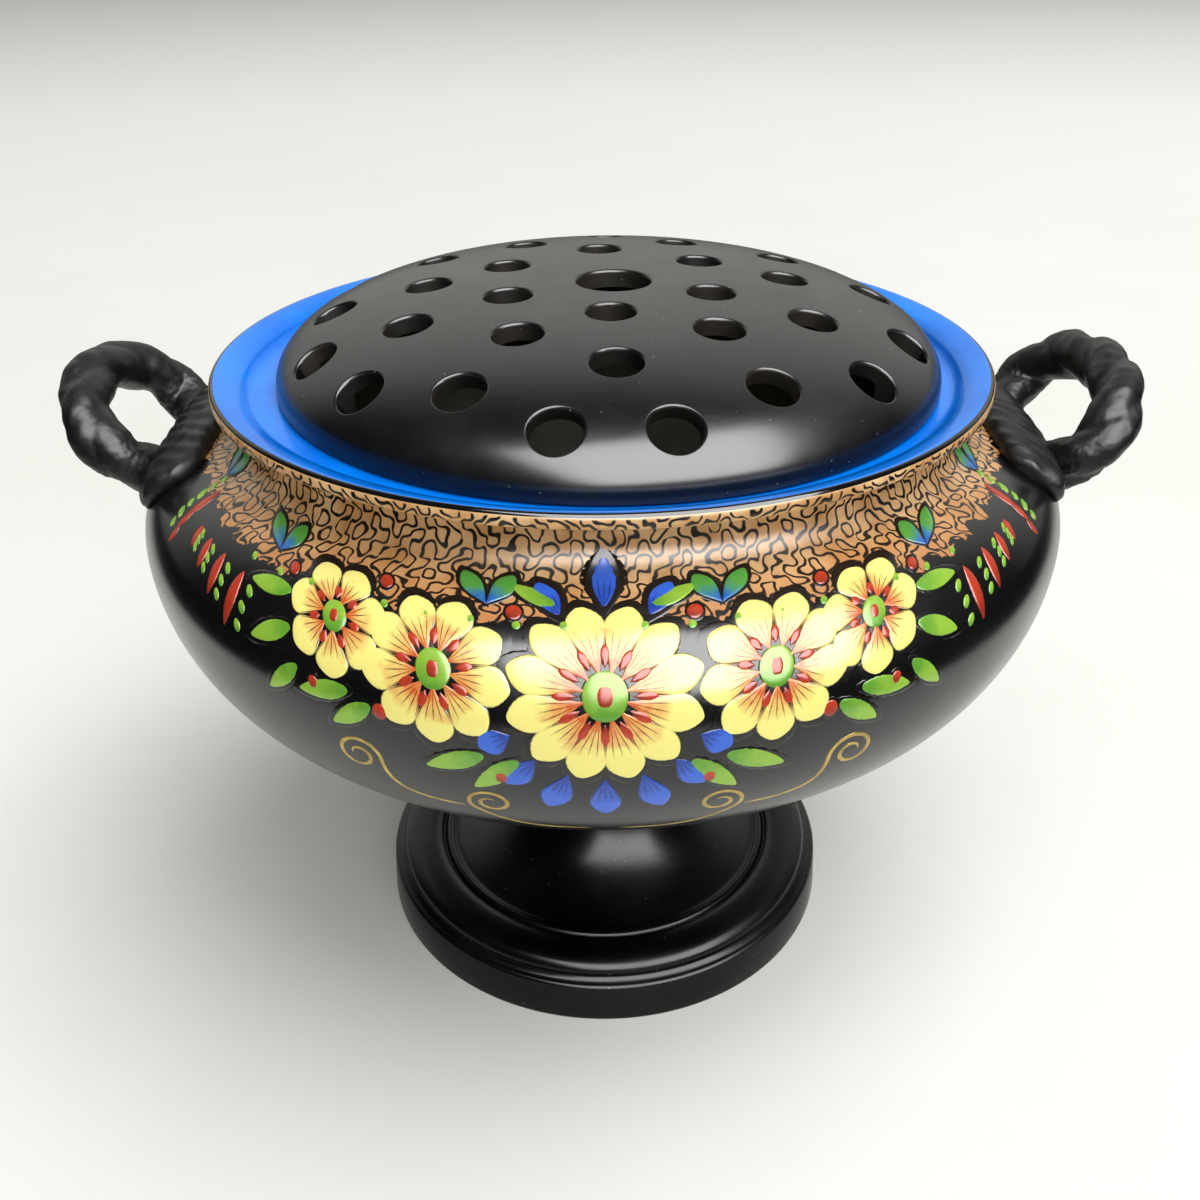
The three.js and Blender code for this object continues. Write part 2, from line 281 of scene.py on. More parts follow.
def painted_ground():
    """Black overglaze ground with a tan band of vermicelli lines under a clear gloss glaze."""
    material, tree = new_finish("painted_ground_under_clear_glaze")
    place = add(tree, "ShaderNodeTexCoord").node.outputs["Object"]
    round_down = add(tree, "ShaderNodeUVMap", uv_map="round_and_down")
    parts = add(tree, "ShaderNodeSeparateXYZ", round_down).node.outputs
    # The brush wanders about a millimetre off the regular cells
    wander = add(tree, "ShaderNodeTexNoise", place, 190.0, 1.0, 0.5).node.outputs["Color"]
    wander = add(tree, "ShaderNodeVectorMath", wander, (0.5, 0.5, 0.5), operation="SUBTRACT")
    wander = add(tree, "ShaderNodeVectorMath", wander, (1.45, 1.45, 0.0), operation="MULTIPLY")
    cells = add(tree, "ShaderNodeVectorMath", round_down, (CELLS_ROUND, CELLS_DOWN, 0.0),
                operation="MULTIPLY")
    cells = add(tree, "ShaderNodeVectorMath", cells, wander, operation="ADD")
    # Chance turns each cell's arcs one way or the other, alike on both sides of the seam
    cell = add(tree, "ShaderNodeVectorMath", cells, operation="FLOOR")
    cell = add(tree, "ShaderNodeVectorMath", cell, (CELLS_ROUND, 999.0, 1.0),
               (0.0, -999.0, -1.0), operation="WRAP")
    chance = add(tree, "ShaderNodeTexWhiteNoise", cell, noise_dimensions="3D")
    chance = add(tree, "ShaderNodeMath", chance, 0.5, operation="GREATER_THAN")
    local = add(tree, "ShaderNodeVectorMath", cells, operation="FRACTION")
    local = add(tree, "ShaderNodeSeparateXYZ", local).node.outputs
    across = add(tree, "ShaderNodeMath", local[0], chance, operation="SUBTRACT")
    across = add(tree, "ShaderNodeMath", across, operation="ABSOLUTE")
    gaps = []
    from_far = [add(tree, "ShaderNodeMath", 1.0, near, operation="SUBTRACT")
                for near in (across, local[1])]
    for x, y in ((across, local[1]), from_far):
        x = add(tree, "ShaderNodeMath", x, ARC_POWER, operation="POWER")
        y = add(tree, "ShaderNodeMath", y, ARC_POWER, operation="POWER")
        far = add(tree, "ShaderNodeMath", x, y, operation="ADD")
        far = add(tree, "ShaderNodeMath", far, 1 / ARC_POWER, operation="POWER")
        gap = add(tree, "ShaderNodeMath", far, 0.5, operation="SUBTRACT")
        gaps.append(add(tree, "ShaderNodeMath", gap, operation="ABSOLUTE"))
    near = add(tree, "ShaderNodeMath", *gaps, operation="MINIMUM")
    # Lines about 0.7 mm wide, uneven as a brush leaves them, and lifted off here and there
    press = add(tree, "ShaderNodeTexNoise", place, 330.0, 1.0, 0.5)
    width = add(tree, "ShaderNodeMapRange", press, 0.26, 0.38, 0.03, 0.112)
    near = add(tree, "ShaderNodeMath", near, width, operation="SUBTRACT")
    line = add(tree, "ShaderNodeMapRange", near, -0.02, 0.02, 1.0, 0.0)
    # Tan wash, thin and thick, browner towards its lower edge
    wash = add(tree, "ShaderNodeTexNoise", place, 95.0, 4.0, 0.6)
    wash = add(tree, "ShaderNodeMapRange", wash, 0.35, 0.68, 0.0, 1.0)
    tan = add(tree, "ShaderNodeMix", wash, linear("#BD8A52"), linear("#E2BC8A"), data_type="RGBA")
    low = add(tree, "ShaderNodeMapRange", parts[1], 0.019, 0.031, 0.0, 1.0)
    tan = add(tree, "ShaderNodeMix", low, tan, linear("#BC7F48"), data_type="RGBA")
    # The lines run up on the lip's lower side, above the lower edge that counts as zero
    lined = add(tree, "ShaderNodeMapRange", parts[1], -0.0031, -0.0028, 0.0, 1.0)
    line = add(tree, "ShaderNodeMath", line, lined, operation="MULTIPLY")
    band = add(tree, "ShaderNodeMix", line, tan, linear("#120C09"), data_type="RGBA")
    # The band ends in a ragged, scalloped edge 30 mm down, higher towards the handles, and
    # stops before each of them
    ragged = add(tree, "ShaderNodeTexNoise", place, 180.0, 3.0, 0.6)
    ragged = add(tree, "ShaderNodeMapRange", ragged, 0.3, 0.7, -0.0022, 0.0022)
    scallop = add(tree, "ShaderNodeMath", parts[0], math.tau * 36, operation="MULTIPLY")
    scallop = add(tree, "ShaderNodeMath", scallop, operation="SINE")
    scallop = add(tree, "ShaderNodeMath", scallop, operation="ABSOLUTE")
    scallop = add(tree, "ShaderNodeMath", scallop, -0.0026, operation="MULTIPLY")
    edge = add(tree, "ShaderNodeMath", parts[1], ragged, operation="ADD")
    edge = add(tree, "ShaderNodeMath", edge, scallop, operation="ADD")
    side = add(tree, "ShaderNodeSeparateXYZ", place).node.outputs[0]
    side = add(tree, "ShaderNodeMath", side, operation="ABSOLUTE")
    rise = add(tree, "ShaderNodeMapRange", side, 0.076, 0.102, 0.0, 0.007)
    edge = add(tree, "ShaderNodeMath", edge, rise, operation="ADD")
    above = add(tree, "ShaderNodeMapRange", edge, 0.0296, 0.0300, 1.0, 0.0)
    side = add(tree, "ShaderNodeMath", side, ragged, operation="ADD")
    clear = add(tree, "ShaderNodeMapRange", side, 0.1006, 0.1010, 1.0, 0.0)
    lip = add(tree, "ShaderNodeMapRange", parts[1], 0.0080, 0.0084, 1.0, 0.0)
    clear = add(tree, "ShaderNodeMath", clear, lip, operation="MAXIMUM")
    shown = add(tree, "ShaderNodeMath", above, clear, operation="MULTIPLY")
    # Dust specks on the black
    dust = add(tree, "ShaderNodeTexVoronoi", place, 380.0, feature="F1")
    dust = add(tree, "ShaderNodeMapRange", dust, 0.035, 0.07, 0.5, 0.0)
    few = add(tree, "ShaderNodeTexNoise", place, 60.0, 2.0, 0.5)
    few = add(tree, "ShaderNodeMapRange", few, 0.52, 0.62, 0.0, 1.0)
    dust = add(tree, "ShaderNodeMath", dust, few, operation="MULTIPLY")
    black = add(tree, "ShaderNodeMix", dust, linear("#0C0C0D"), linear("#8E8C86"), data_type="RGBA")
    colour = add(tree, "ShaderNodeMix", shown, black, band, data_type="RGBA")
    smear = add(tree, "ShaderNodeTexNoise", place, 30.0, 4.0, 0.6)
    belly = add(tree, "ShaderNodeMapRange", smear, 0.3, 0.7, 0.17, 0.25)
    rough = add(tree, "ShaderNodeMix", shown, belly, 0.3, data_type="FLOAT")
    relief = add(tree, "ShaderNodeTexNoise", place, 75.0, 3.0, 0.5)
    normal = add(tree, "ShaderNodeBump", inputs={
        "Strength": 0.06, "Distance": 0.0006, "Height": relief})
    glaze = add(tree, "ShaderNodeBsdfPrincipled", inputs={
        "Base Color": colour, "Roughness": rough, "IOR": 1.5, "Normal": normal})
    add(tree, "ShaderNodeOutputMaterial", glaze)
    return material


def azure_glaze():
    """Azure enamel glaze of the mouth: glassy, a little deeper where it pools."""
    material, tree = new_finish("azure_enamel_glaze")
    place = add(tree, "ShaderNodeTexCoord").node.outputs["Object"]
    pool = add(tree, "ShaderNodeTexNoise", place, 35.0, 3.0, 0.55)
    pool = add(tree, "ShaderNodeMapRange", pool, 0.35, 0.65, 0.0, 1.0)
    blue = add(tree, "ShaderNodeMix", pool, linear("#0274E6"), linear("#0688FC"), data_type="RGBA")
    relief = add(tree, "ShaderNodeTexNoise", place, 90.0, 2.0, 0.5)
    normal = add(tree, "ShaderNodeBump", inputs={
        "Strength": 0.08, "Distance": 0.0005, "Height": relief})
    glaze = add(tree, "ShaderNodeBsdfPrincipled", inputs={
        "Base Color": blue, "Roughness": 0.14, "IOR": 1.3, "Normal": normal})
    add(tree, "ShaderNodeOutputMaterial", glaze)
    return material


def black_glaze(name, dark, worn, rough, relief_size, relief_depth, index=1.5):
    """Black glaze over turned or hand-rolled clay, with faint wear and fine dust."""
    material, tree = new_finish(name)
    place = add(tree, "ShaderNodeTexCoord").node.outputs["Object"]
    cloud = add(tree, "ShaderNodeTexNoise", place, 28.0, 5.0, 0.6)
    cloud = add(tree, "ShaderNodeMapRange", cloud, 0.38, 0.68, 0.0, 1.0)
    black = add(tree, "ShaderNodeMix", cloud, linear(dark), linear(worn), data_type="RGBA")
    dust = add(tree, "ShaderNodeTexVoronoi", place, 330.0, feature="F1")
    dust = add(tree, "ShaderNodeMapRange", dust, 0.04, 0.08, 0.6, 0.0)
    few = add(tree, "ShaderNodeTexNoise", place, 50.0, 2.0, 0.5)
    few = add(tree, "ShaderNodeMapRange", few, 0.53, 0.58, 0.0, 1.0)
    dust = add(tree, "ShaderNodeMath", dust, few, operation="MULTIPLY")
    black = add(tree, "ShaderNodeMix", dust, black, linear("#A09E96"), data_type="RGBA")
    shine = add(tree, "ShaderNodeMapRange", cloud, 0.0, 1.0, rough - 0.04, rough + 0.06)
    relief = add(tree, "ShaderNodeTexNoise", place, relief_size, 3.0, 0.5)
    normal = add(tree, "ShaderNodeBump", inputs={
        "Strength": 0.25, "Distance": relief_depth, "Height": relief})
    glaze = add(tree, "ShaderNodeBsdfPrincipled", inputs={
        "Base Color": black, "Roughness": shine, "IOR": index, "Normal": normal})
    add(tree, "ShaderNodeOutputMaterial", glaze)
    return material


ground = painted_ground()
azure = azure_glaze()
# Lip line: gloss black enamel banded on the wheel
lip_black = black_glaze("lip_line_black_enamel", "#08090B", "#101114", 0.12, 120.0, 0.0002)
# Inside, below the gallery: brown-black glaze, dulled by years of water
umber = black_glaze("inside_brown_black_glaze", "#443E29", "#665F45", 0.6, 60.0, 0.0004)
# Foot: satin black glaze on turned earthenware
foot_black = black_glaze("foot_satin_black_glaze", "#020202", "#070707", 0.26, 60.0, 0.0003, 1.33)
# Grid: satin black glaze on a pressed dome
grid_black = black_glaze("grid_satin_black_glaze", "#060606", "#0E0E0D", 0.27, 45.0, 0.0003)
# Underside and walls of the stem holes: hardly glazed, brown with old dust
hole_brown = black_glaze("grid_dry_inside", "#0E0C09", "#2B241B", 0.6, 300.0, 0.0005, 1.25)
# Handles: gloss black glaze, thick over hand-rolled clay
rope_black = black_glaze("handle_gloss_black_glaze", "#050506", "#0B0B0C", 0.44, 150.0, 0.0022, 1.4)

# Bowl: painted outside, black on the lip's edge, azure down to the gallery, brown below it

PAINT_END = 3.3                          # How far the paint runs up past the lip's lower edge
LIP_BLACK_FROM = 99.75                   # Radius at which the azure ends
GALLERY_FOOT, GALLERY_MOUTH = 169, 81    # Height and radius at which the azure starts

bm, run = throw_on_wheel(bowl_profile)
lip_run = (Vector(bowl_profile[1]) - Vector(bowl_profile[0])).length
lip_run += (Vector(JOIN_EDGE) - Vector(bowl_profile[1])).length + down[-1]
uv = bm.loops.layers.uv.new("round_and_down")
for face in bm.faces:
    centre = face.calc_center_median()
    middle = math.atan2(centre.y, centre.x)
    face_run = sum(v[run] for v in face.verts) / len(face.verts)
    if face_run > lip_run + PAINT_END:
        far = centre.xy.length
        below = centre.z < GALLERY_FOOT or far < GALLERY_MOUTH
        face.material_index = 3 if below else 2 if far > LIP_BLACK_FROM else 1
    for loop in face.loops:
        co = loop.vert.co
        angle = math.atan2(co.y, co.x) if co.xy.length > 0.01 else middle
        angle += math.tau * round((middle - angle) / math.tau)
        loop[uv].uv = ((angle + math.pi) / math.tau, (lip_run - loop.vert[run]) * MM)
finish_piece(bm, "bowl", [ground, azure, lip_black, umber], "bowl", ["bowl_body"])

# Painted flowers, in raised enamel

EDGE_SUNK = 0.03     # How far a patch's border dips under the glaze


def enamel(name, tip, root, vein, outline):
    """Opaque overglaze enamel: root colour to tip colour, hair-fine veins, and a dark outline
    that starts at a share of the half width."""
    material, tree = new_finish(name)
    place = add(tree, "ShaderNodeTexCoord").node.outputs["Object"]
    shape = add(tree, "ShaderNodeUVMap", uv_map="along_and_across")
    along, across, _ = add(tree, "ShaderNodeSeparateXYZ", shape).node.outputs
    brush = add(tree, "ShaderNodeTexNoise", place, 240.0, 3.0, 0.6)
    brush = add(tree, "ShaderNodeMapRange", brush, 0.3, 0.7, -0.16, 0.16)
    reach = add(tree, "ShaderNodeMath", along, brush, operation="ADD")
    reach = add(tree, "ShaderNodeMapRange", reach, 0.12, 0.62, 0.0, 1.0)
    colour = add(tree, "ShaderNodeMix", reach, linear(root), linear(tip), data_type="RGBA")
    side = add(tree, "ShaderNodeMath", across, 0.5, operation="SUBTRACT")
    side = add(tree, "ShaderNodeMath", side, operation="ABSOLUTE")
    if vein:
        fan = add(tree, "ShaderNodeMath", side, math.tau * 5, operation="MULTIPLY")
        fan = add(tree, "ShaderNodeMath", fan, operation="COSINE")
        fan = add(tree, "ShaderNodeMapRange", fan, 0.78, 0.92, 0.0, 1.0)
        near_root = add(tree, "ShaderNodeMapRange", along, 0.42, 0.62, 1.0, 0.0)
        fan = add(tree, "ShaderNodeMath", fan, near_root, operation="MULTIPLY")
        colour = add(tree, "ShaderNodeMix", fan, colour, linear(vein), data_type="RGBA")
    rim = add(tree, "ShaderNodeMapRange", side, outline / 2 - 0.02, outline / 2 + 0.02, 0.0, 1.0)
    colour = add(tree, "ShaderNodeMix", rim, colour, linear("#15100C"), data_type="RGBA")
    relief = add(tree, "ShaderNodeTexNoise", place, 300.0, 2.0, 0.5)
    normal = add(tree, "ShaderNodeBump", inputs={
        "Strength": 0.12, "Distance": 0.0003, "Height": relief})
    add(tree, "ShaderNodeOutputMaterial", add(tree, "ShaderNodeBsdfPrincipled", inputs={
        "Base Color": colour, "Roughness": 0.24, "IOR": 1.5, "Normal": normal}))
    return material


def leaf_width(half, widest):
    """Half width of a petal or leaf along its length: pointed root, rounded tip."""
    power = math.log(0.5) / math.log(widest)
    return lambda t: half * max(math.sin(math.pi * t ** power), 0.0) ** 0.75


def dot_width(half):
    """Half width of a round dot along its length."""
    return lambda t: half * math.sqrt(max(1 - (2 * t - 1) ** 2, 0.0))


def ribbon_width(half):
    """Half width of a line with two rounded ends along its length."""
    return lambda t: half * min(1.0, math.sqrt(max(12 * t, 0)), math.sqrt(max(12 * (1 - t), 0)))


def lay_enamel(bm, face_to, spine, half_width, thickness, rows, cols):
    """One patch of enamel on the bowl: its spine runs in mm round and down from the middle of a
    face of the bowl, and its border dips under the glaze."""
    uv = bm.loops.layers.uv.verify()
    spine = [Vector(spot) for spot in spine]
    reached = reach_of(spine)
    made = bmesh.ops.create_grid(bm, x_segments=rows, y_segments=cols, size=1)["verts"]
    for vert in made:
        t, w = (1 - math.cos((vert.co.x + 1) / 2 * math.pi)) / 2, vert.co.y
        spot, k, _ = point_along(spine, reached, reached[-1] * t)
        before, after = spine[max(k - 2, 0)], spine[min(k + 1, len(spine) - 1)]
        along = (after - before).normalized()
        spot = spot + Vector((-along.y, along.x)) * w * half_width(t)
        edge = max(abs(w), abs(2 * t - 1) ** 3) ** 4
        height = thickness * (1 - edge) - EDGE_SUNK * edge
        vert.co = on_bowl(face_to + spot.x / radius_at(spot.y), spot.y, height)
        for loop in vert.link_loops:
            loop[uv].uv = (t, (w + 1) / 2)
    faces = {face for vert in made for face in vert.link_faces}
    for face in faces:
        face.normal_update()
    face_outward(bm, list(faces))


def finish_enamel(bm, name, material):
    """Fires the patches of one colour into a closed piece."""
    bmesh.ops.remove_doubles(bm, verts=bm.verts, dist=0.004)
    bmesh.ops.solidify(bm, geom=bm.faces[:], thickness=0.2)
    piece = finish_piece(bm, name, [material], "bowl", None)
    piece.data.uv_layers[0].name = "along_and_across"


def ray(root, degrees, start, end):
    """A straight spine from a root, turned clockwise from straight up the bowl."""
    way = Vector((math.sin(math.radians(degrees)), -math.cos(math.radians(degrees))))
    root = Vector(root)
    return [root + way * (start + (end - start) * i / 6) for i in range(7)]


def lay_dot(bm, face_to, centre, radius, thickness, rows, cols):
    """One round dot of enamel."""
    lay_enamel(bm, face_to, ray(centre, 0, -radius, radius), dot_width(radius), thickness,
               rows, cols)


def scroll(centre, size, turns, opening, tail):
    """A spiral that opens round its centre and leaves along a tail."""
    centre, tail = Vector(centre), Vector(tail)
    steps = int(abs(turns) * 28)
    spots = []
    for i in range(steps + 1):
        angle = math.radians(opening) + math.tau * turns * i / steps
        far = size * (0.22 + 0.78 * i / steps)
        spots.append(centre + Vector((math.cos(angle), math.sin(angle))) * far)
    leaving = (spots[-1] - spots[-2]).normalized()
    reach = (tail - spots[-1]).length
    arriving = Vector((tail.x - centre.x, 0)).normalized()
    tail_run = interpolate_bezier(spots[-1], spots[-1] + leaving * reach * 0.5,
                                  tail - arriving * reach * 0.4, tail, 26)
    return spots + list(tail_run)[1:]


yellow_petals, red_petals, green_leaves, blue_petals, drops, gold, black_under = (
    bmesh.new() for _ in range(7))

# Rosettes: place round and down, petals, inner and outer reach, widest half width
ROSETTES = [((0, 46), 12, 5.5, 20.0, 4.6), ((34, 43), 9, 4.5, 16.0, 4.7),
            ((57, 37), 7, 3.6, 12.5, 4.6)]
# Leaves (root, tip, half width) and berries (place, radius) for the right half of a face
LEAVES = [((9, 27), (19, 21.5), 2.4), ((17, 61), (27, 71), 2.9), ((24, 60.5), (37, 66), 2.9),
          ((48, 53), (58, 60), 2.6), ((53, 51), (66, 54), 2.6), ((68, 42), (80, 47), 2.4),
          ((69, 35), (82, 36), 2.4), ((66, 49), (75, 57), 2.2)]
BERRIES = [(18, 29, 1.9), (46, 26, 1.8), (46, 54, 1.9), (70, 30, 1.6), (21, 66.5, 1.6),
           (62, 51.5, 1.4)]
# Pairs of drop leaves in the tan band: degrees from the middle, fall, radius of the bowl there
DROP_PAIRS = ((14, 27.5, 97), (45, 27.5, 97), (64, 22, radius_at(22)))
# Sprigs before the handles and beside the strips' ends: place and size
SPRIGS = ((42.5, 42, 0.9), (47, 39.5, 0.7), (51, 37.5, 0.52), (54.5, 36, 0.38))
SIDE_SPRIGS = ((25, 1.0), (31.5, 0.66), (37.5, 0.45))
SPRIG_DOTS = ((-3.2, 5.2), (-4.4, 0.8), (-6.4, -3.4))
DOT_ROW_RADIUS = 108
# Scrolls: centre, size, turns, the angle at which they open, and where the tail ends
SCROLLS = (((24, 77), 5.2, 1.6, 200, (2.5, 90)), ((53, 68), 5.6, -1.6, 30, (29, 80)))

for face_to in (-math.pi / 2, math.pi / 2):
    for place, count, inner, outer, half in ROSETTES:
        for mirror in (1, -1) if place[0] else (1,):
            root = (place[0] * mirror, place[1])
            for i in range(count):
                turn = 360 * (i + 0.5) / count
                lay_enamel(black_under, face_to, ray(root, turn, 0, outer + 2.4),
                           leaf_width(half + 2.1, 0.66), 0.03 + 0.002 * i, 12, 5)
                lay_enamel(yellow_petals, face_to, ray(root, turn, inner * 0.6, outer),
                           leaf_width(half, 0.68), 0.16 + 0.01 * (i % 2), 16, 8)
                lay_enamel(red_petals, face_to, ray(root, turn + 180 / count, inner, outer * 0.52),
                           leaf_width(half * 0.28, 0.6), 0.24, 8, 4)
            lay_dot(green_leaves, face_to, root, inner * 0.92, 0.34, 16, 12)
            lay_dot(red_petals, face_to, root, inner * 0.42, 0.42, 10, 6)
    # A fan of blue petals below the middle rosette and a crest of three above it
    for i in range(7):
        turn = 180 + (i - 3) * 20
        reach = 27 + 8 * math.cos(math.radians((i - 3) * 20)) ** 2
        lay_enamel(blue_petals, face_to, ray((0, 44), turn, 21.5, reach),
                   leaf_width(3.6, 0.6), 0.12, 12, 6)
    for turn, reach in ((-28, 29), (0, 32), (28, 29)):
        lay_enamel(black_under, face_to, ray((0, 46), turn, 16, reach + 1.8),
                   leaf_width(5.0, 0.6), 0.045, 12, 5)
        lay_enamel(blue_petals, face_to, ray((0, 46), turn, 19, reach),
                   leaf_width(3.1, 0.55), 0.12, 12, 6)
    for mirror in (1, -1):
        for start, end, half in LEAVES:
            start, end = Vector((start[0] * mirror, start[1])), Vector((end[0] * mirror, end[1]))
            spine = [start.lerp(end, i / 6) for i in range(7)]
            longer = [start + (start - end) * 0.12, *spine[1:-1], end + (end - start) * 0.16]
            lay_enamel(black_under, face_to, longer, leaf_width(half + 1.1, 0.5), 0.05, 10, 5)
            lay_enamel(green_leaves, face_to, spine, leaf_width(half, 0.45), 0.14, 12, 6)
        for across, fall, size in BERRIES:
            lay_dot(black_under, face_to, (across * mirror, fall), size + 0.7, 0.055, 8, 6)
            lay_dot(red_petals, face_to, (across * mirror, fall), size, 0.2, 8, 6)
        for degrees, fall, far in DROP_PAIRS:
            root = (math.radians(degrees) * far * mirror, fall)
            for lean in (-34, 34):
                lay_enamel(black_under, face_to, ray(root, lean, -1.2, 11.4),
                           leaf_width(3.5, 0.6), 0.05, 10, 6)
                lay_enamel(drops, face_to, ray(root, lean, 0, 10),
                           leaf_width(2.6, 0.62), 0.2, 12, 8)
        # Each sprig is a red leaf beside a row of green dots
        for degrees, fall, size in SPRIGS:
            middle = math.radians(degrees) * radius_at(fall) * mirror
            spine = [(middle - mirror * (5 * (k / 6) ** 1.5 - 2) * size,
                      fall + (7 - 14 * k / 6) * size) for k in range(7)]
            lay_enamel(red_petals, face_to, spine, leaf_width(1.2 + 0.7 * size, 0.5), 0.12, 12, 4)
            for over, drop in SPRIG_DOTS:
                dot = (middle + over * size * mirror, fall + drop * size)
                lay_enamel(green_leaves, face_to,
                           ray(dot, 25 * mirror, -1.0 - 0.4 * size, 1.0 + 0.4 * size),
                           dot_width(0.8 + 0.4 * size), 0.14, 8, 6)
        for fall, size in SIDE_SPRIGS:
            start = math.radians(60.5 - 0.12 * (fall - 25)) * radius_at(fall)
            spine = [((start + 8.3 * size * k / 6) * mirror, fall + 10.3 * size * k / 6)
                     for k in range(7)]
            lay_enamel(red_petals, face_to, spine, leaf_width(0.7 + 0.7 * size, 0.45), 0.12, 12, 4)
            for k in range(3 if size > 0.5 else 2):
                dot = ((start + 3.0 + 2.2 * k) * mirror, fall - 1.8 + 2.8 * k)
                lay_enamel(green_leaves, face_to, ray(dot, 140 * mirror, -1.4, 1.4),
                           dot_width(1.1), 0.14, 8, 6)
        # A row of dots where the tan band ends
        for i in range(9):
            at = math.radians(4.2 + 5.0 * i) * DOT_ROW_RADIUS * mirror
            lay_dot(green_leaves, face_to, (at, 31.6 + 0.5 * (i % 2)), 1.0, 0.15, 8, 6)
        for centre, size, turns, opening, tail in SCROLLS:
            spine = [(x * mirror, y) for x, y in scroll(centre, size, turns, opening, tail)]
            lay_enamel(gold, face_to, spine, ribbon_width(0.62), 0.07, 110, 3)

# Enamels: black, yellow, iron red, green, cobalt blue, and a green that runs into blue. Each has
# its piece, its name, the colours of tip, root and veins, and the share where its outline starts.
for bm, piece, finish, *colours in (
        (black_under, "flower_outlines", "outline_black_enamel", "#0D0B0A", "#0D0B0A", None, 0.8),
        (yellow_petals, "yellow_petals", "yellow_petal_enamel", "#F5E985", "#D9622A", "#5A1C0C",
         0.86),
        (red_petals, "red_petals_and_berries", "iron_red_enamel", "#B5381F", "#8E2A16", None, 0.9),
        (green_leaves, "green_leaves_and_dots", "leaf_green_enamel", "#8CB83A", "#5E9A2C", None,
         0.88),
        (blue_petals, "blue_petals", "cobalt_blue_enamel", "#2E63D6", "#1740A8", "#0B1F58", 0.88),
        (drops, "drop_leaves", "green_to_blue_enamel", "#4F9A3E", "#1B62B8", None, 0.86)):
    finish_enamel(bm, piece, enamel(finish, *colours))

# Burnished gold, worn a little matt by dusting
gilding, tree = new_finish("burnished_gold_line")
place = add(tree, "ShaderNodeTexCoord").node.outputs["Object"]
worn = add(tree, "ShaderNodeTexNoise", place, 300.0, 3.0, 0.6)
worn = add(tree, "ShaderNodeMapRange", worn, 0.35, 0.65, 0.0, 1.0)
shade = add(tree, "ShaderNodeMix", worn, linear("#9C8238"), linear("#C9AC58"), data_type="RGBA")
add(tree, "ShaderNodeOutputMaterial", add(tree, "ShaderNodeBsdfPrincipled", inputs={
    "Base Color": shade, "Roughness": 0.3, "Metallic": 0.55}))
finish_enamel(gold, "gold_scrolls", gilding)

# Foot, as points of (radius, height): plinth, torus, bead and stem, and the hollow beneath

foot_profile = chain(
    [(70.6, 0), (70.6, 0.6), (69.9, 11.2), (69.5, 12.0), (68.8, 12.3)],
    sweep((66.4, 12.7), 75, (60, 17.7), 180, 12, 0.45),
    sweep((60, 17.7), 180, (53.6, 14.3), 270, 8, 0.45),
    arc((51.6, 14.3), 1.5, 20, 160, 6),
    sweep((50.1, 14.7), 170, (19.5, 55), 92, 28, 0.42),
    sweep((19.5, 55), 92, (24, 70), 60, 8),
    [(12, 70), (0, 70)],
)
foot_hollow = chain(
    sweep((0, 58), 0, (13.5, 49), 270, 8),
    sweep((13.5, 49), 272, (58.6, 6.3), 350, 18, 0.42),
    [(61.6, 4.0), (62.6, 0), (70.6, 0)],
)
bm, _ = throw_on_wheel(foot_profile)
hollow = mesh_from(throw_on_wheel(foot_hollow)[0], "foot_hollow")
bm.from_mesh(hollow)
bpy.data.meshes.remove(hollow)
bmesh.ops.remove_doubles(bm, verts=bm.verts, dist=ONE_SPOT)
bmesh.ops.recalc_face_normals(bm, faces=bm.faces)
finish_piece(bm, "foot", [foot_black], "bowl", ["pedestal_foot"])

# Flower grid: its dome, which lies a little off the bowl's middle, and its flange

GRID_BASE, GRID_RADIUS, GRID_RISE, GRID_OFF = 175.6, 86.6, 22.4, 1.8
DOME_FULLNESS = 2.9
INNER_DOME = (82.1, 17.9)
GRID_STEPS = 240
FLANGE_INSIDE, FLANGE_FOOT, SEAT_HEIGHT = 75.5, 167.9, 173.9
STEM_HOLE, CENTRE_HOLE, HOLE_ROUNDING = 6.0, 9.5, 0.9
CENTRE_HOLE_PLACE = (4.7, 288)
# Rings of stem holes: share of the dome's radius, and the degrees at which they stand
HOLE_RINGS = [(0.338, (32, 94, 156, 212, 271, 331)), (0.535, (3.5, 64, 120, 181, 243, 303.5)),
              (0.65, (31, 90, 148, 211.5, 271.5, 330.5)), (0.818, (6, 64, 124, 184, 242.5, 300)),
              (0.898, (23, 42.5, 81, 100, 141, 161, 204.5, 223.5, 261.5, 280, 320.5, 341.5))]


def dome_height(radius, edge=GRID_RADIUS, rise=GRID_RISE):
    """How high the dome stands at a radius: a flat crown whose sides fall ever more steeply."""
    inward = 1 - (min(abs(radius), edge) / edge) ** DOME_FULLNESS
    return GRID_BASE + rise * math.sqrt(max(inward, 0))


def dome_run(edge, rise, steps):
    """The dome's line from its crown to its edge, with the points closer at the edge."""
    spots = [edge * math.sin(math.pi / 2 * i / steps) ** 0.8 for i in range(steps + 1)]
    return [Vector((r, dome_height(r, edge, rise))) for r in spots]


